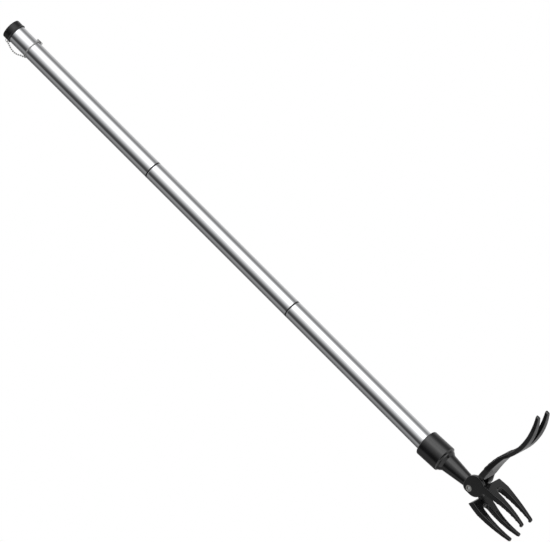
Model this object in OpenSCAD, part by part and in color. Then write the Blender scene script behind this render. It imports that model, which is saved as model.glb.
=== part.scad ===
// Long-handled weeder: a three-part tube handle, a socket with a ribbed fork, and a pedal lever
// with a smooth fork that closes on it. Z runs up the handle, X points along the pedal, and the
// origin is on the handle's axis at the socket's rim.

/* [Handle] */
// Outside diameter of the tubes
tube_d = 27; // [24:0.5:32]
// Wall of the tubes
tube_wall = 1.0; // [0.8:0.1:1.6]
// Length of the lowest tube
lower_tube_l = 286.5; // [200:0.5:400]
// Length of the middle tube
middle_tube_l = 274; // [200:1:400]
// Length of the top tube
upper_tube_l = 274; // [200:1:400]
// Thickness of the black ring between two tubes
ring_t = 2; // [1:0.5:4]
// Diameter of the threaded studs that join the tubes
stud_d = 16; // [12:0.5:18]
// Length of stud that stands out of a tube
stud_l = 16; // [10:1:20]
// Length of a stud's root, and of a threaded insert, inside a tube
insert_l = 20; // [18:1:30]
// Radial clearance between a stud and its insert
thread_gap = 0.05; // [0.02:0.01:0.2]

/* [Socket] */
// Outside diameter of the socket's collar
collar_d = 38.5; // [36:0.5:44]
// Length of the collar
collar_l = 38.5; // [36:0.5:48]
// Depth that the lowest tube goes into the collar
socket_depth = 24; // [18:1:26]
// Radial clearance between tube and socket
socket_gap = 0.1; // [0.05:0.05:0.4]
// Radius of the collar's bottom edge
collar_edge_r = 3; // [1:0.5:5]
// Diameter of the neck under the collar
neck_top_d = 26.5; // [22:0.5:28]
// Diameter of the neck at the hinge
neck_low_d = 18; // [16:0.5:22]
// Distance from the collar's bottom to the pivot
neck_l = 52.5; // [46:0.5:70]
// Lean of the collar and neck towards the pedal, in degrees
neck_lean = 3.1; // [0:0.1:4]
// Offset of the pivot from the handle's axis, towards the pedal
pivot_x = 7.5; // [5:0.5:8]
// Diameter of the collar screw's head
grub_head_d = 5; // [4:0.5:6]
// Diameter of the collar screw's shank
grub_d = 3; // [2.5:0.5:4]
// Distance of the collar screw from the rim
grub_drop = 14; // [12:1:16]

/* [Hinge] */
// Width over both cheeks
hinge_w = 29; // [28:0.5:34]
// Gap between the cheeks
cheek_gap = 1.5; // [1.2:0.1:2]
// Radius of the socket's round cheek
cheek_r = 15.5; // [15:0.5:17]
// Thickness of that cheek's rim
cheek_t = 5.5; // [4:0.5:7]
// Offset of the cheek's centre from the pivot, along the pedal
cheek_shift = 9; // [8:0.5:10]
// Offset of the cheek's centre below the pivot
cheek_drop = 5; // [4:0.5:6]
// Radius of the two hubs that meet round the pivot
hub_r = 10.2; // [10:0.1:10.6]
// Diameter of the pivot screw's shank
pivot_d = 5; // [4:0.5:5.5]
// Outside diameter of the bushing and of the nut's barrel
barrel_d = 8; // [7:0.5:8.5]
// Radial running clearance of the pivot screw in its bushing
pivot_gap = 0.05; // [0.02:0.01:0.1]
// Diameter of the pivot screw's and the nut's heads
head_d = 9.5; // [9:0.25:10]
// Height of the pivot screw's head
head_h = 2.8; // [2:0.1:3]
// Height of the nut's head
nut_head_h = 2; // [1.5:0.1:2.5]
// Thickness of the thrust washer
washer_t = 1.0; // [0.8:0.1:1.1]
// Wire diameter of the torsion spring
wire_d = 1.3; // [1:0.1:1.4]
// Number of turns of the torsion spring
spring_turns = 3.5; // [2.5:0.5:4.5]

/* [Forks] */
// Width of each fork at its shoulder
fork_w = 37; // [34:0.5:42]
// Distance from the pivot down to the tips
fork_l = 91; // [85:0.5:105]
// Width of the slot between two tines
slot_w = 12.6; // [10:0.1:14]
// Distance from the pivot down to the slot's root
slot_drop = 28; // [28:0.5:34]
// Distance between the tips of one fork
tip_pitch = 21; // [19:0.5:22]
// Width of a tine at its tip
tip_w = 5.6; // [5:0.1:7]
// Number of cross ribs on each ribbed tine
rib_count = 6; // [4:1:7]
// Thickness of a cross rib
rib_t = 2.2; // [1.5:0.1:3]
// Wall each side of the tines' inner channel
channel_wall = 2; // [1.5:0.1:2.5]

/* [Pedal] */
// Reach of the pedal from the pivot
pedal_l = 168; // [150:1:190]
// Width of the pedal at its hump
pedal_w = 34; // [30:0.5:38]
// Distance between the two horn tips
horn_pitch = 22; // [20:0.5:24]
// Width of a horn at its tip
horn_tip_w = 6.5; // [5:0.5:8]
// Distance from the pivot to the root of the notch between the horns
notch_x = 116; // [106:1:124]
// Thickness of the pedal plate
pedal_t = 7.5; // [7:0.5:9]

/* [Cap and tether] */
// Diameter of the end cap
cap_d = 29; // [28.5:0.5:36]
// Height of the end cap above its lower edge, without the dome
cap_h = 12.4; // [10:0.1:20]
// Height of the cap's dome
dome_h = 2.7; // [1.5:0.1:5]
// Length of tube that the cap's rim covers
cap_cover = 3.5; // [2:0.5:6]
// Length of the cap's plug inside the tube
plug_l = 18; // [12:1:25]
// Radial clearance between the plug and the tube
plug_gap = 0.08; // [0.02:0.01:0.1]
// Diameter of the tether's beads
bead_d = 2.4; // [2:0.1:3]
// Wire diameter of the ring round the tube
hoop_wire_d = 1.6; // [1.2:0.1:2]
// Radial clearance between that ring and the tube
hoop_gap = 0.3; // [0.2:0.1:1]
// Distance from the cap's lower edge down to the ring
hoop_drop = 30.5; // [28:0.5:34]

/* [Hidden] */
$fn = 96;
eps = 0.01;

tube_r = tube_d / 2;
bore_r = tube_r - tube_wall;
joint_1 = lower_tube_l - socket_depth;
joint_2 = joint_1 + ring_t + middle_tube_l;
tube_top = joint_2 + ring_t + upper_tube_l;
cap_low = tube_top - cap_cover;
stud_r = stud_d / 2;
insert_bore = stud_r + thread_gap;
seat_r = min(stud_r + 2.5, bore_r - 0.6);

pivot_z = -collar_l - neck_l;
side = hinge_w / 2;
inner = cheek_gap / 2;
pivot_r = pivot_d / 2;
barrel_r = barrel_d / 2;
head_r = head_d / 2;
head_seat = side - 4.1;
washer_r = barrel_r + 1;
pocket_r = barrel_r + 3.5;
pocket_floor = -side + 6.5;
coil_r = (washer_r + pocket_r) / 2;
sweep_r = norm([cheek_shift, cheek_drop]) + cheek_r + 0.8;
hub_clear_r = hub_r + 0.8;
lean_z = 11;

fork_edge = fork_w - side;
slot_y = (side - fork_edge) / 2;
tine_w = (fork_w - slot_w) / 2;
tip_r = tip_w / 2;
shoulder_z = -14;
straight_z = -slot_drop - slot_w / 2;
// Corners of the two forks' side outlines, from the pivot: x, then z
smooth_out = [-12.6, shoulder_z];
smooth_in = [-5, -18.5];
smooth_tip = [-13.5, -fork_l];
smooth_tip_in = [-9.7, -fork_l + 0.8];
ribbed_out = [20.8, -16];
ribbed_in = [11, -22.5];
ribbed_tip = [15.2, -fork_l];
ribbed_tip_in = [12.2, -fork_l + 0.8];
// Where the pedal's top starts, the height of its hump, where it turns into its dip, and its tip
pedal_root = [20, -4.5];
pedal_hump = [31, -1.6];
pedal_bend = [74, -10.6];
pedal_nose = [pedal_l, -20.8];
// How far the forks' outer and inner faces bow out
smooth_bow = 4.9;
smooth_hollow = 3.7;
ribbed_bow = 3.9;
ribbed_hollow = 3.2;

tether_angle = 218;
// The free chain's route: distance from the handle's axis, then height above the cap's lower edge.
chain_route = [
    [16.2, 3.5], [16.4, 1.5], [17, -1], [17.8, -3.5], [18.7, -6], [19.4, -8.5], [19.8, -11],
    [20, -13.5], [19.9, -16], [19.5, -18.5], [18.7, -21], [17.6, -23.2], [16.4, -25.2],
    [15.7, -27.2], [15.5, -29]
];

// Points on a circular arc from a to b that bulges by sag to the left of the way from a to b.
function arc_points(a, b, sag, n) =
    let (
        d = b - a,
        c = norm(d),
        u = d / c,
        w = [-u[1], u[0]],
        r = (c * c / 4 + sag * sag) / (2 * sag),
        m = (a + b) / 2 + w * (sag - r),
        half = asin(c / 2 / r)
    )
    [for (i = [0:n]) let (t = half * (2 * i / n - 1)) m + r * (w * cos(t) + u * sin(t))];

// Two directions across a route at point i.
function way(p, i) =
    let (d = p[min(i + 1, len(p) - 1)] - p[max(i - 1, 0)])
    d / norm(d);
function across(p, i, up) =
    let (v = cross(way(p, i), up))
    v / norm(v);

module swept_tube(p, r, up, sides = 8) {
    rings = [
        for (i = [0:len(p) - 1], k = [0:sides - 1])
        let (u = across(p, i, up), v = cross(way(p, i), u), a = 360 * k / sides)
        p[i] + r * (u * cos(a) + v * sin(a))
    ];
    last = len(p) - 1;
    walls = [
        for (i = [0:last - 1], k = [0:sides - 1], half = [0, 1])
        let (n = (k + 1) % sides, low = i * sides, high = low + sides)
        half == 0 ? [low + k, high + k, high + n] : [low + k, high + n, low + n]
    ];
    low_end = [for (k = [0:sides - 1]) k];
    high_end = [for (k = [0:sides - 1]) last * sides + sides - 1 - k];
    polyhedron(rings, concat(walls, [low_end], [high_end]));
}

// A flat outline in X and Z, made solid from y0 to y1.
module along_y(y0, y1) {
    translate([0, y1, 0])
        rotate([90, 0, 0])
        linear_extrude(y1 - y0)
        children();
}

// A flat outline in Y and Z, made solid from x0 to x1.
module along_x(x0, x1) {
    translate([x0, 0, 0])
        rotate([90, 0, 90])
        linear_extrude(x1 - x0)
        children();
}

module at_pivot() {
    translate([pivot_x, 0, pivot_z])
        children();
}

module pin_y(r, y0, y1) {
    translate([0, y1, 0])
        rotate([90, 0, 0])
        cylinder(r = r, h = y1 - y0);
}

module ring_y(r_out, r_in, y0, y1) {
    difference() {
        pin_y(r_out, y0, y1);
        pin_y(r_in, y0 - 1, y1 + 1);
    }
}

module tube(z, l) {
    translate([0, 0, z])
        difference() {
            cylinder(r = tube_r, h = l);
            translate([0, 0, -1])
                cylinder(r = bore_r, h = l + 2);
        }
}

module stud(z) {
    translate([0, 0, z])
        union() {
            cylinder(r = bore_r, h = insert_l);
            translate([0, 0, -stud_l])
                cylinder(r1 = stud_r - 1, r2 = stud_r, h = 1);
            translate([0, 0, 1 - stud_l])
                cylinder(r = stud_r, h = stud_l);
        }
}

module insert(z) {
    translate([0, 0, z - insert_l])
        difference() {
            cylinder(r = bore_r, h = insert_l);
            translate([0, 0, -1])
                cylinder(r = insert_bore, h = insert_l + 2);
        }
}

module joint_ring(z) {
    translate([0, 0, z])
        difference() {
            cylinder(r = tube_r, h = ring_t);
            translate([0, 0, -1])
                cylinder(r = insert_bore + 0.3, h = ring_t + 2);
        }
}

// One tine seen along X. Its outer edge runs down from the fork's corner to the tip in a slow arc.
module tine_front(outer_y, tip_y, way) {
    low = -fork_l + tip_r;
    slot_edge = slot_y - way * slot_w / 2;
    corner = [outer_y, straight_z];
    foot = [tip_y - way * tip_r, low];
    polygon(concat(
        [[slot_edge, straight_z]],
        arc_points(corner, foot, way * 1.2, 8),
        [[tip_y + way * tip_r, low]]
    ));
    translate([tip_y, low])
        circle(r = tip_r);
}

// Both tines and the shoulder seen along X, with the stem's side at +Y.
module tines_front() {
    difference() {
        union() {
            translate([-fork_edge, straight_z])
                square([fork_w, shoulder_z - straight_z + 4]);
            tine_front(-fork_edge, slot_y - tip_pitch / 2, 1);
            tine_front(side, slot_y + tip_pitch / 2, -1);
        }
        translate([slot_y, straight_z])
            circle(r = slot_w / 2);
    }
}

// The room inside the tines' walls, where their inner faces are hollow.
module channel_front(top, bottom) {
    intersection() {
        offset(delta = -channel_wall)
            tines_front();
        translate([-fork_w, bottom])
            square([2 * fork_w, top - bottom]);
    }
}

// The round cheek, drawn out round the pivot.
module cheek_outline() {
    hull() {
        translate([cheek_shift, -cheek_drop])
            circle(r = cheek_r, $fn = 48);
        translate([2, 2])
            circle(r = hub_r - 1.5, $fn = 48);
    }
}

// Lever side profiles, seen along Y.
module smooth_profile() {
    polygon(concat(
        arc_points(smooth_out, smooth_tip, -smooth_bow, 14),
        arc_points(smooth_tip_in, smooth_in, smooth_hollow, 12)
    ));
}

module smooth_stem_profile() {
    polygon(concat(
        arc_points([-7, -3], smooth_out + [-0.4, -3], -0.3, 5),
        [[-15.6, -34], [-10.4, -34], smooth_in, [4, -9]]
    ));
}

module ribbed_profile() {
    polygon(concat(
        arc_points(ribbed_tip, ribbed_out, -ribbed_bow, 14),
        arc_points(ribbed_in, ribbed_tip_in, ribbed_hollow, 12)
    ));
}

module ribbed_stem_profile() {
    polygon([
        [21.9, -34], [21.4, -24], [20.2, -15], [16, -6], [2, -8], [7, -18], ribbed_in, [14.5, -34]
    ]);
}

// The hollow on the inner side of a fork: depth is how far it goes in from the inner arc.
module smooth_channel() {
    intersection() {
        along_y(-fork_edge, side)
            polygon(concat(
                arc_points(smooth_tip_in + [3, 0], smooth_in + [3, 0], smooth_hollow, 12),
                arc_points(smooth_in - [2.5, 0], smooth_tip_in - [2.5, 0], -smooth_hollow, 12)
            ));
        along_x(-40, 40)
            channel_front(-44, -72);
    }
}

module ribbed_channel() {
    intersection() {
        along_y(-side, fork_edge)
            polygon(concat(
                arc_points(ribbed_in - [3, 0], ribbed_tip_in - [3, 0], ribbed_hollow, 12),
                arc_points(ribbed_tip_in + [2.4, 0], ribbed_in + [2.4, 0], -ribbed_hollow, 12)
            ));
        along_x(-40, 60)
            mirror([1, 0, 0])
            channel_front(-24, -fork_l + 8);
    }
}

// Cross ribs in the channel, which stand proud of the inner face as teeth.
module cross_ribs() {
    first = -slot_drop - 8;
    pitch = (fork_l - slot_drop - 20) / (rib_count - 1);
    intersection() {
        along_y(-side, fork_edge)
            polygon(concat(
                arc_points(ribbed_in - [0.5, 0], ribbed_tip_in - [0.5, 0], ribbed_hollow, 12),
                arc_points(ribbed_tip_in + [2.6, 0], ribbed_in + [2.6, 0], -ribbed_hollow, 12)
            ));
        along_x(-40, 60)
            mirror([1, 0, 0])
            intersection() {
                tines_front();
                for (i = [0:rib_count - 1])
                    translate([-fork_w, first - i * pitch - rib_t / 2])
                        square([2 * fork_w, rib_t]);
            }
    }
}

// A rounded hook at the inner edge of each ribbed tip.
module tip_hooks() {
    for (way = [-1, 1])
        translate([ribbed_tip_in[0], -slot_y + way * tip_pitch / 2, -fork_l + tip_r])
            sphere(r = tip_r - 0.2);
}

module ribbed_fork() {
    difference() {
        union() {
            intersection() {
                along_y(-side, fork_edge)
                    ribbed_profile();
                along_x(-40, 60)
                    mirror([1, 0, 0])
                    tines_front();
            }
            along_y(-side, -inner)
                ribbed_stem_profile();
        }
        ribbed_channel();
    }
    cross_ribs();
    tip_hooks();
}

module smooth_fork() {
    difference() {
        union() {
            intersection() {
                along_y(-fork_edge, side)
                    smooth_profile();
                along_x(-60, 40)
                    tines_front();
            }
            along_y(inner, side)
                smooth_stem_profile();
        }
        smooth_channel();
    }
}

// Turned to the neck's lean, about a point on the handle's axis just above the rim.
module leaned() {
    translate([0, 0, lean_z])
        rotate([0, -neck_lean, 0])
        translate([0, 0, -lean_z])
        children();
}

// Collar and neck, turned about the leaning axis.
module socket_body() {
    r = collar_d / 2;
    neck_end = pivot_z + hub_r + 1.2;
    leaned()
        rotate_extrude()
        polygon(concat(
            [[0, 0], [r - 1, 0], [r, -1]],
            arc_points([r, collar_edge_r - collar_l], [r - collar_edge_r, -collar_l], -collar_edge_r * 0.29, 6),
            [[neck_top_d / 2 + 3, -collar_l], [neck_top_d / 2, -collar_l - 4]],
            [[neck_low_d / 2, neck_end], [0, neck_end]]
        ));
}

// The neck's flattened foot, which runs down onto the fixed cheek.
module neck_foot() {
    foot_l = hub_r + 7.2;
    intersection() {
        leaned()
            translate([0, 0, pivot_z - 6])
            cylinder(r1 = neck_low_d / 2 - 1, r2 = neck_low_d / 2, h = foot_l + eps);
        translate([-20, -20, pivot_z - 7])
            cube([60, 20 - inner, foot_l + 3]);
    }
}

module socket_fork() color("#1b1b1d") {
    difference() {
        union() {
            socket_body();
            neck_foot();
            at_pivot() {
                along_y(-side, -side + cheek_t)
                    cheek_outline();
                pin_y(hub_r, -side + cheek_t - 0.5, -inner);
                ribbed_fork();
            }
        }
        // Tube bore, insert seat and collar screw's hole
        translate([0, 0, -socket_depth])
            cylinder(r = tube_r + socket_gap, h = socket_depth + 1);
        translate([0, 0, -socket_depth - insert_l])
            cylinder(r = seat_r, h = insert_l + 1);
        grub_axis(collar_d / 2 - 2.5)
            cylinder(r = grub_head_d / 2 + 0.2, h = 10);
        grub_axis(bore_r - 2)
            cylinder(r = grub_d / 2, h = 10);
        // Room for the moving cheek beside the neck's end
        at_pivot()
            pin_y(hub_clear_r, -inner, side + 5);
        // Pivot nut's barrel and head, and the spring's pocket
        at_pivot() {
            pin_y(barrel_r, -side, side);
            pin_y(head_r + 0.15, -side - 1, -side + nut_head_h + 0.3);
            ring_y(pocket_r, washer_r, pocket_floor, 0);
            translate([coil_r, 0, 0])
                pin_y(wire_d / 2 + 0.2, pocket_floor - 3, pocket_floor + 1);
        }
    }
}

// The collar screw's axis: it comes in along +X from the back of the collar.
module grub_axis(x) {
    translate([-x, 0, -grub_drop])
        rotate([0, -90, 0])
        children();
}

module collar_screw() color("#2b2b2d") {
    grub_axis(bore_r - 1.5)
        difference() {
            union() {
                cylinder(r = grub_d / 2, h = collar_d / 2 - 2.5 - bore_r + 1.5);
                translate([0, 0, collar_d / 2 - 2.5 - bore_r + 1.5])
                    cylinder(r = grub_head_d / 2, h = 1.6);
            }
            for (a = [0, 90])
                rotate([0, 0, a])
                translate([-1.5, -0.35, collar_d / 2 - bore_r - 0.2])
                cube([3, 0.7, 2]);
        }
}

module socket_insert() color("#b9b9b6") {
    translate([0, 0, -socket_depth - insert_l])
        difference() {
            cylinder(r = seat_r, h = insert_l);
            translate([0, 0, -1])
                cylinder(r = insert_bore, h = insert_l + 2);
        }
}

// The pole has a hole near its foot for the collar screw.
module pole_lower() color("#c9cacb") {
    difference() {
        tube(-socket_depth, lower_tube_l);
        grub_axis(bore_r - 2)
            cylinder(r = grub_d / 2, h = 6);
    }
}
module pole_middle() color("#c9cacb") {
    tube(joint_1 + ring_t, middle_tube_l);
}
module pole_upper() color("#c9cacb") {
    tube(joint_2 + ring_t, upper_tube_l);
}

module stud_lower() color("#b9b9b6") {
    difference() {
        stud(-socket_depth);
        grub_axis(bore_r - 2)
            cylinder(r = grub_d / 2, h = 6);
    }
}
module stud_middle() color("#b9b9b6") {
    stud(joint_1 + ring_t);
}
module stud_upper() color("#b9b9b6") {
    stud(joint_2 + ring_t);
}
module insert_lower() color("#b9b9b6") {
    insert(joint_1);
}
module insert_middle() color("#b9b9b6") {
    insert(joint_2);
}
module joint_ring_lower() color("#101011") {
    joint_ring(joint_1);
}
module joint_ring_upper() color("#101011") {
    joint_ring(joint_2);
}

// Side profile of the pedal plate: a hump by the hinge, a dip, and horns that curve up.
module pedal_profile() {
    polygon(concat(
        arc_points(pedal_bend, pedal_hump, -1.4, 10),
        arc_points(pedal_hump, pedal_root, -0.8, 4),
        [pedal_root - [0, 5.5], pedal_root + [7, -6]],
        arc_points(pedal_root + [7, -6], pedal_bend + [4, -pedal_t - 0.2], 1.8, 10),
        arc_points(pedal_bend + [4, -pedal_t - 0.2], pedal_nose + [1.5, -4.4], -12.2, 14),
        arc_points(pedal_nose + [1.5, -4.4], pedal_nose, -2, 4),
        arc_points(pedal_nose, pedal_bend, 11, 14)
    ));
}

// The pedal seen from above, with the notch between its horns.
module pedal_plan() {
    half = pedal_w / 2;
    waist = half - 2.5;
    horn = horn_pitch / 2;
    tip = horn_tip_w / 2;
    difference() {
        union() {
            hull() {
                translate([25, 0])
                    square([1, 2 * half - 6], center = true);
                translate([38, 0])
                    square([14, 2 * half], center = true);
                translate([86, 0])
                    square([4, 2 * waist], center = true);
            }
            for (way = [-1, 1])
                polygon([
                    [82, 0], [82, way * waist], [notch_x, way * (waist + 0.6)],
                    [pedal_l - 22, way * (horn + tip + 0.9)], [pedal_l - tip, way * (horn + tip)],
                    [pedal_l - tip, way * (horn - tip)], [notch_x, 0]
                ]);
            for (way = [-1, 1])
                translate([pedal_l - tip, way * horn])
                    circle(r = tip);
        }
        hull() {
            translate([notch_x + 3, 0])
                circle(r = 2);
            translate([pedal_l - 14, 0])
                square([1, 2 * (horn - tip) - 2.4], center = true);
            translate([pedal_l + 8, 0])
                square([1, 2 * (horn - tip) + 0.4], center = true);
        }
    }
}

// The arm that joins the moving cheek to the pedal.
module pedal_arm() {
    along_y(inner, side)
        polygon(concat(
            [[-4, -8], [6, -12], [17, -13.2], [28, -10.2]],
            arc_points([30, -1.4], [-4, 9.2], 3, 10)
        ));
}

module pedal_jaw() color("#1b1b1d") {
    at_pivot()
        difference() {
            union() {
                pin_y(hub_r, inner, side);
                pedal_arm();
                intersection() {
                    along_y(-pedal_w, pedal_w)
                        pedal_profile();
                    translate([0, 0, -60])
                        linear_extrude(80)
                        pedal_plan();
                }
            }
            // Bushing bore and the screw head's seat
            pin_y(barrel_r, -side, side + 1);
            pin_y(head_r + 0.45, head_seat, side + 1);
            // Hole for the spring's moving end
            translate([coil_r * cos(spring_turns * 360), 0, coil_r * sin(spring_turns * 360)])
                pin_y(wire_d / 2 + 0.2, 0, 5);
            // Room for the fixed fork's shoulder and cheek
            pin_y(sweep_r, -pedal_w, inner);
        }
    at_pivot()
        difference() {
            smooth_fork();
            pin_y(barrel_r, -side, side + 1);
            pin_y(head_r + 0.45, head_seat, side + 1);
            translate([coil_r * cos(spring_turns * 360), 0, coil_r * sin(spring_turns * 360)])
                pin_y(wire_d / 2 + 0.2, 0, 5);
        }
}

module pivot_screw() color("#c4c4c2") {
    at_pivot()
        difference() {
            union() {
                pin_y(pivot_r, -side + 0.9, head_seat + 1);
                translate([0, head_seat + 0.9 + head_h, 0])
                    rotate([90, 0, 0])
                    rotate_extrude()
                    polygon(concat(
                        [[0, 0]],
                        arc_points([0, 0], [head_r, 1.1], 0.25, 6),
                        [[head_r, head_h], [0, head_h]]
                    ));
            }
            for (a = [45, 135])
                rotate([0, a, 0])
                translate([-2.4, head_seat + head_h - 0.9, -0.5])
                cube([4.8, 3, 1]);
        }
}

module pivot_nut() color("#c4c4c2") {
    at_pivot()
        difference() {
            union() {
                pin_y(barrel_r, -side + nut_head_h, -washer_t / 2 - 0.1);
                pin_y(head_r, -side + 0.2, -side + nut_head_h + 0.2);
            }
            pin_y(pivot_r, -side - 1, 1);
        }
}

module pivot_bushing() color("#b8a26a") {
    at_pivot()
        ring_y(barrel_r, pivot_r + pivot_gap, inner - 0.1, head_seat);
}

module thrust_washer() color("#c4c4c2") {
    at_pivot()
        ring_y(washer_r, pivot_r + pivot_gap, -washer_t / 2, washer_t / 2);
}

module head_washer() color("#c4c4c2") {
    at_pivot()
        ring_y(head_r, pivot_r + pivot_gap, head_seat + 0.1, head_seat + 0.9);
}

module torsion_spring() color("#8d8d8f") {
    steps = 12 * spring_turns;
    rise = spring_turns * (wire_d + 0.1);
    low = pocket_floor + wire_d / 2 + 0.1;
    coil = [
        for (i = [0:steps])
        let (a = 30 * i)
        [coil_r * cos(a), low + rise * i / steps, coil_r * sin(a)]
    ];
    last = coil[len(coil) - 1];
    route = concat(
        [coil[0] - [0, 3, 0], coil[0] - [0, 1, 0]],
        coil,
        [[last[0], inner + 1, last[2]], [last[0], inner + 4, last[2]]]
    );
    at_pivot()
        swept_tube(route, wire_d / 2, [0.1, 0.2, 0.97]);
}

module end_cap() color("#1b1b1d") {
    r = cap_d / 2;
    translate([0, 0, cap_low])
        rotate_extrude()
        polygon(concat(
            [[0, cap_cover - plug_l], [bore_r - plug_gap - 1, cap_cover - plug_l]],
            [[bore_r - plug_gap, cap_cover - plug_l + 1], [bore_r - plug_gap, cap_cover]],
            [[tube_r + 0.1, cap_cover], [tube_r + 0.1, 0], [r + 0.6, 0], [r + 0.6, 1.4], [r, 2]],
            arc_points([r, cap_h - 1.2], [r - 1.6, cap_h + 0.2], -0.45, 4),
            arc_points([r - 1.6, cap_h + 0.2], [0, cap_h + dome_h], -(dome_h - 0.2) / 4, 8)
        ));
}

// A wire eye let into the cap's side, which holds the chain's first bead.
module cap_eyelet() color("#b0b0ae") {
    rotate([0, 0, tether_angle])
        translate([cap_d / 2 + 0.9, 0, cap_low + 4.6])
        rotate([90, 0, 0])
        rotate_extrude()
        translate([1.5, 0])
        circle(r = 0.4);
}

module tether_chain() color("#9c9c9a") {
    swept_tube(
        [for (p = chain_route) [p[0] * cos(tether_angle), p[0] * sin(tether_angle), cap_low + p[1]]],
        bead_d / 2,
        [-sin(tether_angle), cos(tether_angle), 0]
    );
}

module chain_hoop() color("#9c9c9a") {
    translate([0, 0, cap_low - hoop_drop])
        rotate_extrude()
        translate([tube_r + hoop_gap + hoop_wire_d / 2, 0])
        circle(r = hoop_wire_d / 2);
}

module chain_clasp() color("#b0b0ae") {
    r = tube_r + hoop_gap + hoop_wire_d / 2;
    rotate([0, 0, tether_angle + 180])
        difference() {
            translate([r + 0.3, 0, cap_low - hoop_drop - 3.75])
                union() {
                    cylinder(r = 1.3, h = 7.5);
                    sphere(r = 1.3);
                    translate([0, 0, 7.5])
                        sphere(r = 1.3);
                }
            translate([0, 0, cap_low - hoop_drop])
                rotate_extrude()
                translate([r, 0])
                circle(r = hoop_wire_d / 2 + 0.02);
            translate([0, 0, cap_low - hoop_drop - 10])
                cylinder(r = tube_r + hoop_gap, h = 20);
        }
}

socket_fork();
pedal_jaw();
pole_lower();
pole_middle();
pole_upper();
stud_lower();
stud_middle();
stud_upper();
insert_lower();
insert_middle();
socket_insert();
joint_ring_lower();
joint_ring_upper();
collar_screw();
pivot_screw();
pivot_nut();
pivot_bushing();
thrust_washer();
head_washer();
torsion_spring();
end_cap();
cap_eyelet();
tether_chain();
chain_hoop();
chain_clasp();
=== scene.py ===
import math
import bpy
from mathutils import Matrix, Vector
from mathutils.bvhtree import BVHTree


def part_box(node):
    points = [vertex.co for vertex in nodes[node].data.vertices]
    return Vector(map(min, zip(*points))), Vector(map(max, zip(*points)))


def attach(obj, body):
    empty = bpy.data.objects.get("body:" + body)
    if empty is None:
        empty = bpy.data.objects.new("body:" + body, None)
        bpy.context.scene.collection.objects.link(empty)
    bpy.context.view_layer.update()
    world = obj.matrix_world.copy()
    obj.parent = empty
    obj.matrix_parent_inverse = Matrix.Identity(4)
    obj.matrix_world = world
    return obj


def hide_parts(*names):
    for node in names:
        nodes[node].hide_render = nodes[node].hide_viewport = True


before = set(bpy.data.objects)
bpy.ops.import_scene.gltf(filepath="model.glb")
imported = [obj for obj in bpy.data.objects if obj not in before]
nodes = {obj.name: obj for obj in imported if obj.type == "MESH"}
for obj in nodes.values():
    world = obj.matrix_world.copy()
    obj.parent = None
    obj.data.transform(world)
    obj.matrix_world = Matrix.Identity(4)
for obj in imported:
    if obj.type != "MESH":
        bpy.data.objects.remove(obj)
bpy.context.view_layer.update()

MM = 0.001
WELD = 0.002 * MM  # points nearer than this are one point


# ---- Camera ----

SENSOR = 36
DISTANCE = 24.0  # from far off, so that little is foreshortened
SEEN_WIDTH = 0.74415  # what the view spans at the pole, in metres
AIM = (0.0159, 0.0124, 0.3182)


def look(azimuth, elevation, roll):
    a, e = math.radians(azimuth), math.radians(elevation)
    back = Vector((math.sin(a) * math.cos(e), -math.cos(a) * math.cos(e), math.sin(e)))
    right = Vector((math.cos(a), math.sin(a), 0))
    up = back.cross(right)
    turn = Matrix.Rotation(math.radians(roll), 3, back)
    right, up = turn @ right, turn @ up
    data = bpy.data.cameras.new("camera")
    data.lens = SENSOR * DISTANCE / SEEN_WIDTH
    data.sensor_width = SENSOR
    data.clip_end = 1000
    camera = bpy.data.objects.new("camera", data)
    bpy.context.scene.collection.objects.link(camera)
    eye = Matrix.Translation(Vector(AIM) + back * DISTANCE)
    camera.matrix_world = eye @ Matrix((right, up, back)).transposed().to_4x4()
    bpy.context.scene.camera = camera


# Seen from a little below, with the pole running from the lower right to the upper left.
look(38, -15, -45.06)


# ---- Modelling helpers ----

def nothing():
    bpy.ops.object.select_all(action="DESELECT")


def only(obj):
    """Selects this object and nothing else."""
    nothing()
    obj.select_set(True)
    bpy.context.view_layer.objects.active = obj


def edit():
    bpy.ops.object.mode_set(mode="EDIT")


def leave():
    bpy.ops.object.mode_set(mode="OBJECT")


def everything():
    bpy.ops.mesh.select_all(action="SELECT")


def apply(obj, kind, **settings):
    only(obj)
    modifier = obj.modifiers.new("step", kind)
    for key, value in settings.items():
        setattr(modifier, key, value)
    bpy.ops.object.modifier_apply(modifier="step")


def smooth(obj, degrees):
    only(obj)
    bpy.ops.object.shade_smooth_by_angle(angle=math.radians(degrees))


def duplicate(name, mesh):
    """A new object with its own copy of a mesh."""
    obj = bpy.data.objects.new(name, mesh.copy())
    bpy.context.scene.collection.objects.link(obj)
    return obj


def join(parts, name):
    """Several objects made into one, with its place in its mesh."""
    nothing()
    for part in parts:
        part.select_set(True)
    bpy.context.view_layer.objects.active = parts[0]
    bpy.ops.object.join()
    obj = bpy.context.object
    obj.name = name
    bpy.ops.object.transform_apply(location=True, rotation=True, scale=True)
    return obj


def copy_of(node, name):
    """A welded copy of a part, with its own mesh."""
    obj = duplicate(name, nodes[node].data)
    only(obj)
    edit()
    everything()
    bpy.ops.mesh.remove_doubles(threshold=WELD)
    leave()
    return obj


def moulded(node, name, skin_mm, passes, keep):
    """A part as it leaves the mould: an even skin with its edges rounded over, then thinned."""
    obj = copy_of(node, name)
    apply(obj, "REMESH", mode="VOXEL", voxel_size=skin_mm * MM)
    apply(obj, "SMOOTH", factor=0.5, iterations=passes)
    apply(obj, "DECIMATE", ratio=keep)
    only(obj)
    bpy.ops.object.shade_smooth()
    return obj


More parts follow.
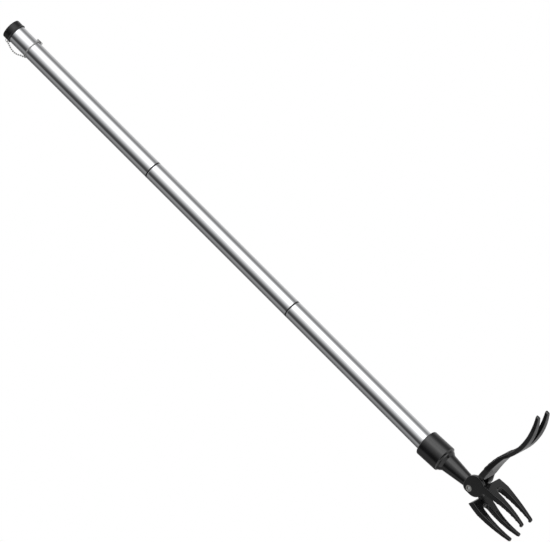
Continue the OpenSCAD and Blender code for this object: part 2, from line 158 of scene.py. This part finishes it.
def turned(name, outline, steps):
    """A closed outline of radius and height in mm, spun about the handle's axis."""
    nothing()
    bpy.ops.mesh.primitive_plane_add(size=MM)
    obj = bpy.context.object
    obj.name = name
    edit()
    bpy.ops.mesh.merge(type="CENTER")
    r, z = outline[0]
    bpy.ops.transform.translate(value=(r * MM, 0, z * MM))
    for (r, z), (r2, z2) in zip(outline, outline[1:] + outline[:1]):
        bpy.ops.mesh.extrude_vertices_move(
            TRANSFORM_OT_translate={"value": ((r2 - r) * MM, 0, (z2 - z) * MM)})
    everything()
    bpy.ops.mesh.remove_doubles(threshold=WELD)
    bpy.ops.mesh.spin(steps=steps, angle=2 * math.pi, center=(0, 0, 0), axis=(0, 0, 1))
    everything()
    bpy.ops.mesh.remove_doubles(threshold=WELD)
    bpy.ops.mesh.normals_make_consistent(inside=False)
    leave()
    smooth(obj, 35)
    return obj


def settle(obj, body, slot, material, *stands_for):
    """Gives a finished piece its material and its body, and hides the nodes that it stands for. slot
    is not used.
    """
    obj.data.materials.clear()
    obj.data.materials.append(material)
    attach(obj, body)
    if stands_for:
        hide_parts(*stands_for)


# ---- Materials ----

def linear(code):
    """An sRGB hex value as linear colour."""
    out = []
    for i in (1, 3, 5):
        c = int(code[i:i + 2], 16) / 255
        out.append(c / 12.92 if c <= 0.04045 else ((c + 0.055) / 1.055) ** 2.4)
    return (*out, 1)


def add(tree, kind, settings=(), values=(), links=()):
    """Adds one node with its settings, socket values and incoming links."""
    node = tree.nodes.new(kind)
    for key, value in dict(settings).items():
        setattr(node, key, value)
    for key, value in dict(values).items():
        node.inputs[key].default_value = value
    for key, source in dict(links).items():
        tree.links.new(source, node.inputs[key])
    return node


EVEN = (1, 1, 1)


def finish_of(name, dark, light, metallic, rough, grain_mm, depth_mm, tone_mm=12, drawn=EVEN, ior=1.5):
    """One base finish: colour that drifts slowly over tone_mm, and a surface grain of grain_mm that
    moves the roughness and stands depth_mm proud. drawn pulls the grain out along each axis."""
    material = bpy.data.materials.new(name)
    material.use_nodes = True
    tree = material.node_tree
    shader = tree.nodes["Principled BSDF"]
    shader.inputs["Metallic"].default_value = metallic
    if not metallic:
        shader.inputs["IOR"].default_value = ior
    place = add(tree, "ShaderNodeTexCoord").outputs["Object"]
    tone = add(tree, "ShaderNodeTexNoise",
               values={"Scale": 1000 / tone_mm, "Detail": 3},
               links={"Vector": place})
    ramp = add(tree, "ShaderNodeValToRGB", links={"Fac": tone.outputs["Fac"]})
    for stop, position, colour in zip(ramp.color_ramp.elements, (0.3, 0.7), (dark, light)):
        stop.position = position
        stop.color = linear(colour)
    tree.links.new(ramp.outputs["Color"], shader.inputs["Base Color"])
    stretch = add(tree, "ShaderNodeMapping", values={"Scale": drawn}, links={"Vector": place})
    grain = add(tree, "ShaderNodeTexNoise",
                values={"Scale": 1000 / grain_mm, "Detail": 4, "Roughness": 0.6},
                links={"Vector": stretch.outputs["Vector"]})
    gloss = add(tree, "ShaderNodeMapRange",
                values={"From Min": 0.25, "From Max": 0.75, "To Min": rough[0], "To Max": rough[1]},
                links={"Value": grain.outputs["Fac"]})
    tree.links.new(gloss.outputs["Result"], shader.inputs["Roughness"])
    relief = add(tree, "ShaderNodeBump",
                 values={"Strength": 0.6, "Distance": depth_mm * MM},
                 links={"Height": grain.outputs["Fac"]})
    tree.links.new(relief.outputs["Normal"], shader.inputs["Normal"])
    return material


# Glass-filled nylon, moulded: near black and half glossy, with a fine even mould texture.
nylon = finish_of(
    "glass_filled_nylon_moulded", "#060607", "#0e0e0f", 0, (0.12, 0.20), 0.8, 0.004, ior=1.56)
# Polypropylene, moulded: as black as the nylon and a little duller.
cap_black = finish_of(
    "polypropylene_moulded", "#060607", "#0a0a0b", 0, (0.28, 0.38), 1.0, 0.006, ior=1.42)
# Stainless steel, drawn and polished: mirror bright, with faint lines along the pole that
# spread a reflection a little. The lines are about 0.7 mm apart, coarser than the real ones.
steel = finish_of(
    "stainless_steel_drawn_polished", "#c9cacc", "#d1d2d4", 1, (0.05, 0.09), 0.7, 0.002, 60,
    (1, 1, 0.01))
# Bright zinc plate: cool and soft, with a faint cloudiness.
zinc = finish_of("steel_bright_zinc_plated", "#a9adb0", "#c3c6c8", 1, (0.22, 0.36), 0.6, 0.01, 6)
# Moulded rubber: dead black and dull.
rubber = finish_of("nitrile_rubber_moulded", "#0b0b0c", "#141415", 0, (0.55, 0.75), 0.5, 0.03)
# Black oxide on steel: deep grey black with an oily sheen.
oxide = finish_of("steel_black_oxide", "#242426", "#363638", 1, (0.30, 0.45), 0.4, 0.01, 4)
# Nickel plate on turned steel: warm and bright, with a tight highlight.
nickel = finish_of("steel_nickel_plated", "#bdbcb8", "#d2d1cd", 1, (0.14, 0.24), 0.4, 0.006, 5)
# Turned brass: yellow, with fine turning marks.
brass = finish_of("brass_turned", "#b08d45", "#c5a45c", 1, (0.22, 0.34), 0.3, 0.006, 5, (1, 4, 1))
# Oiled spring steel: dark grey and smooth.
spring = finish_of("spring_steel_oiled", "#66676a", "#7c7d80", 1, (0.20, 0.32), 0.4, 0.006, 5)
# Nickel plated bead chain: small bright beads with a worn, slightly grey film.
beads = finish_of("bead_chain_nickel_plated", "#8e8e8d", "#b4b4b2", 1, (0.18, 0.32), 0.4, 0.008, 3)


# ---- The tether, a free bead chain ----

BEAD_R = 1.2
BEAD_COUNT = 11
LINK_R = 0.3
LINK_SUNK = 0.8  # how far a link starts from the middle of its bead
CAP_LOW = 811
TETHER_ANGLE = math.radians(218)
# Distance from the handle's axis, then height above the cap's lower edge, in mm
ROUTE = [
    (16.2, 3.5), (16.4, 1.5), (17, -1), (17.8, -3.5), (18.7, -6), (19.4, -8.5), (19.8, -11),
    (20, -13.5), (19.9, -16), (19.5, -18.5), (18.7, -21), (17.6, -23.2), (16.4, -25.2),
    (15.7, -27.2), (15.5, -29)
]
path = [
    Vector((r * math.cos(TETHER_ANGLE), r * math.sin(TETHER_ANGLE), CAP_LOW + h)) * MM
    for r, h in ROUTE
]
length = sum((b - a).length for a, b in zip(path, path[1:]))


def along(distance):
    for a, b in zip(path, path[1:]):
        step = (b - a).length
        if distance <= step:
            return a.lerp(b, distance / step)
        distance -= step
    return path[-1]


nothing()
bpy.ops.mesh.primitive_uv_sphere_add(segments=14, ring_count=9, radius=BEAD_R * MM)
bead = bpy.context.object
edit()
everything()
bpy.ops.transform.resize(value=(1, 1, 0.96))
leave()
pitch = (length - 2 * BEAD_R * MM) / (BEAD_COUNT - 1)
chain = []
for i in range(BEAD_COUNT):
    ball = duplicate(f"bead_{i}", bead.data)
    ball.location = along(BEAD_R * MM + i * pitch)
    chain.append(ball)
bpy.data.objects.remove(bead)
for i in range(BEAD_COUNT - 1):
    a, b = chain[i].location, chain[i + 1].location
    nothing()
    bpy.ops.mesh.primitive_cylinder_add(
        vertices=8, radius=LINK_R * MM, depth=(b - a).length - 2 * LINK_SUNK * MM)
    link = bpy.context.object
    edit()
    everything()
    bpy.ops.mesh.subdivide(number_cuts=1)
    leave()
    turn = (b - a).to_track_quat("Z", "Y").to_matrix().to_4x4()
    link.matrix_world = Matrix.Translation((a + b) / 2) @ turn
    chain.append(link)
tether = join(chain, "bead_chain")
smooth(tether, 60)
settle(tether, "cap", "chain_steel", beads, "tether_chain")

hoop = copy_of("chain_hoop", "tether_ring")
smooth(hoop, 60)
settle(hoop, "cap", "chain_steel", beads, "chain_hoop")
clasp = copy_of("chain_clasp", "tether_clasp")
smooth(clasp, 45)
settle(clasp, "cap", "chain_steel", beads, "chain_clasp")


# ---- Black mouldings ----

socket = moulded("socket_fork", "socket_and_ribbed_fork", 0.38, 24, 0.45)
settle(socket, "handle", "moulded_black", nylon, "socket_fork")
lever = moulded("pedal_jaw", "pedal_and_smooth_fork", 0.38, 24, 0.5)
settle(lever, "pedal_jaw", "moulded_black", nylon, "pedal_jaw")
cap_body = moulded("end_cap", "handle_cap", 0.32, 6, 0.6)
settle(cap_body, "cap", "cap_plastic", cap_black, "end_cap")


# The pedal's tread: a raised honeycomb, four rows across, that follows the pedal's top.
CELL_R = 4.6
CELL_STRETCH = (1.15, 0.93, 1)
CELL_ROWS = 4
CELL_COLUMNS = 6
TREAD_START = 52
HALF_WALL = 0.6
TREAD_H = 2
TREAD_SUNK = 0.7


def drop_onto(obj, node, flat_half, sunk):
    """Lowers a flat piece onto a part's upper side. Points further out than flat_half take the
    height that the part has there, so none misses its edge."""
    mesh = nodes[node].data
    surface = BVHTree.FromPolygons(
        [v.co for v in mesh.vertices], [p.vertices for p in mesh.polygons])
    for v in obj.data.vertices:
        y = max(-flat_half, min(flat_half, v.co.y))
        hit = surface.ray_cast(Vector((v.co.x, y, 0.1)), Vector((0, 0, -1)))[0]
        if hit:
            v.co.z += hit.z - sunk


def tread():
    nothing()
    bpy.ops.mesh.primitive_circle_add(vertices=6, radius=CELL_R * MM, fill_type="NGON")
    cell = bpy.context.object
    edit()
    bpy.ops.transform.resize(value=CELL_STRETCH)
    leave()
    column_step = max(v.co.x for v in cell.data.vertices) * 2
    row_step = max(v.co.y for v in cell.data.vertices) * 1.5
    cells = []
    for row in range(CELL_ROWS):
        odd = row % 2
        for column in range(CELL_COLUMNS + odd):
            each = duplicate(f"cell_{column}_{row}", cell.data)
            x = TREAD_START * MM + (column - 0.5 * odd) * column_step
            each.location = (x, (row - (CELL_ROWS - 1) / 2) * row_step, 0)
            cells.append(each)
    bpy.data.objects.remove(cell)
    obj = join(cells, "pedal_tread")
    edit()
    everything()
    bpy.ops.mesh.remove_doubles(threshold=0.05 * MM)
    bpy.ops.mesh.inset(thickness=HALF_WALL * MM, use_individual=True)
    bpy.ops.mesh.delete(type="FACE")
    everything()
    bpy.ops.mesh.extrude_region_move(TRANSFORM_OT_translate={"value": (0, 0, TREAD_H * MM)})
    everything()
    bpy.ops.mesh.normals_make_consistent(inside=False)
    leave()
    drop_onto(obj, "pedal_jaw", 12 * MM, TREAD_SUNK * MM)
    apply(obj, "BEVEL", width=0.25 * MM, segments=2, limit_method="ANGLE",
          angle_limit=math.radians(50))
    smooth(obj, 50)
    return obj


settle(tread(), "pedal_jaw", "moulded_black", nylon)


# ---- Pole ----

TUBE_R = 13.5
BORE_R = 12.5
SEAL_BORE_R = 8.4


def ends_of(node):
    low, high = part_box(node)
    return low.z / MM, high.z / MM


# Each tube's ends are eased over, and a second ring close by keeps the long wall's shading straight.
for node in ("pole_lower", "pole_middle", "pole_upper"):
    z0, z1 = ends_of(node)
    outline = [
        (BORE_R, z0), (TUBE_R - 0.4, z0), (TUBE_R - 0.12, z0 + 0.12), (TUBE_R, z0 + 0.4),
        (TUBE_R, z0 + 0.7), (TUBE_R, z1 - 0.7), (TUBE_R, z1 - 0.4), (TUBE_R - 0.12, z1 - 0.12),
        (TUBE_R - 0.4, z1), (BORE_R, z1)
    ]
    tube = turned(node.replace("pole", "tube"), outline, 128)
    settle(tube, "handle", "polished_steel", steel, node)

for node in ("joint_ring_lower", "joint_ring_upper"):
    z0, z1 = ends_of(node)
    outline = [
        (SEAL_BORE_R, z0), (TUBE_R - 0.4, z0), (TUBE_R - 0.12, z0 + 0.15), (TUBE_R, z0 + 0.5),
        (TUBE_R, z1 - 0.5), (TUBE_R - 0.12, z1 - 0.15), (TUBE_R - 0.4, z1), (SEAL_BORE_R, z1)
    ]
    settle(turned(node + "_seal", outline, 96), "handle", "black_rubber", rubber, node)


# ---- Fittings ----

# Node, piece, body, slot, material, and the angle past which an edge stays sharp
FITTINGS = [
    ("cap_eyelet", "cap_loop", "cap", "chain_steel", beads, 50),
    ("collar_screw", "collar_grub_screw", "handle", "black_oxide", oxide, 30),
    ("pivot_screw", "hinge_screw", "handle", "zinc_plated", zinc, 30),
    ("pivot_nut", "hinge_sleeve_nut", "handle", "nickel_plated", nickel, 30),
    ("head_washer", "hinge_washer", "handle", "zinc_plated", zinc, 30),
    ("thrust_washer", "hinge_thrust_washer", "handle", "zinc_plated", zinc, 30),
    ("pivot_bushing", "hinge_bushing", "pedal_jaw", "bushing_brass", brass, 30),
    ("torsion_spring", "hinge_spring", "handle", "spring_steel", spring, 60),
    ("stud_lower", "stud_a", "handle", "zinc_plated", zinc, 30),
    ("stud_middle", "stud_b", "handle", "zinc_plated", zinc, 30),
    ("stud_upper", "stud_c", "handle", "zinc_plated", zinc, 30),
    ("insert_lower", "insert_a", "handle", "zinc_plated", zinc, 30),
    ("insert_middle", "insert_b", "handle", "zinc_plated", zinc, 30),
    ("socket_insert", "insert_c", "handle", "zinc_plated", zinc, 30),
]
for node, name, body, slot, material, degrees in FITTINGS:
    piece = copy_of(node, name)
    smooth(piece, degrees)
    settle(piece, body, slot, material, node)


# ---- Studio ----

# Soft panels stand round the object: how far round each stands from the first panel, in degrees,
# and its tone from 0 to 255. The broad bright one is the key light.
PANELS = [
    (-180, 140), (-144, 89), (-117, 100), (-97, 132), (-81, 135), (-67, 60), (-53, 61),
    (-41, 83), (-29, 134), (-17, 170), (-6, 204), (6, 241), (17, 253), (29, 251), (41, 240),
    (53, 241), (67, 204), (81, 139), (97, 123), (117, 160), (144, 194), (180, 140)
]
FIRST_PANEL = math.radians(-52)
KEY_FROM, KEY_TO, KEY_BOOST = 10, 60, 1.45
PANEL_STRENGTH = 1.65

world = bpy.data.worlds.new("studio")
bpy.context.scene.world = world
world.use_nodes = True
tree = world.node_tree
for node in list(tree.nodes):
    tree.nodes.remove(node)
place = add(tree, "ShaderNodeTexCoord").outputs["Generated"]
axes = add(tree, "ShaderNodeSeparateXYZ", links={"Vector": place})
angle = add(tree, "ShaderNodeMath", {"operation": "ARCTAN2"},
            links={0: axes.outputs["Y"], 1: axes.outputs["X"]})
from_first = add(tree, "ShaderNodeMath", {"operation": "SUBTRACT"}, {1: FIRST_PANEL},
                 {0: angle.outputs[0]})
wrapped = add(tree, "ShaderNodeMath", {"operation": "WRAP"}, {1: math.pi, 2: -math.pi},
              {0: from_first.outputs[0]})
fraction = add(tree, "ShaderNodeMapRange", values={"From Min": -math.pi, "From Max": math.pi},
               links={"Value": wrapped.outputs[0]})
ramp = add(tree, "ShaderNodeValToRGB", links={"Fac": fraction.outputs["Result"]})
stops = ramp.color_ramp.elements
while len(stops) < len(PANELS):
    stops.new(0.5)
for stop, (degrees, tone) in zip(stops, PANELS):
    level = linear("#" + 3 * format(tone, "02x"))[0]
    if KEY_FROM < degrees < KEY_TO:
        level *= KEY_BOOST
    stop.position = (degrees + 180) / 360
    stop.color = (level, level, level, 1)
panels = add(tree, "ShaderNodeBackground", values={"Strength": PANEL_STRENGTH},
             links={"Color": ramp.outputs["Color"]})
white = add(tree, "ShaderNodeBackground", values={"Color": (1, 1, 1, 1), "Strength": 1})
# Plain white overhead and underfoot keeps the floor pale and lights tops and undersides evenly.
height = add(tree, "ShaderNodeMath", {"operation": "ABSOLUTE"}, links={0: axes.outputs["Z"]})
steep = add(tree, "ShaderNodeMapRange", values={"From Min": 0.5, "From Max": 0.8},
            links={"Value": height.outputs[0]})
dome = add(tree, "ShaderNodeMixShader",
           links={0: steep.outputs["Result"], 1: panels.outputs[0], 2: white.outputs[0]})
# The backdrop itself is plain white.
ray = add(tree, "ShaderNodeLightPath")
both = add(tree, "ShaderNodeMixShader",
           links={0: ray.outputs["Is Camera Ray"], 1: dome.outputs[0], 2: white.outputs[0]})
add(tree, "ShaderNodeOutputWorld", links={"Surface": both.outputs[0]})

# The floor lies well below, out of the way of a camera that looks up at the pole.
nothing()
bpy.ops.mesh.primitive_plane_add(size=24, location=(0, 0, -7))
floor = bpy.context.object
floor.name = "floor"
# Matt floor paint: pale, with a slow unevenness.
floor.data.materials.append(
    finish_of("painted_floor_matt", "#f2f2f2", "#f6f6f6", 0, (0.8, 0.9), 400, 0.1, 4000))

bpy.context.scene.view_settings.view_transform = "Standard"
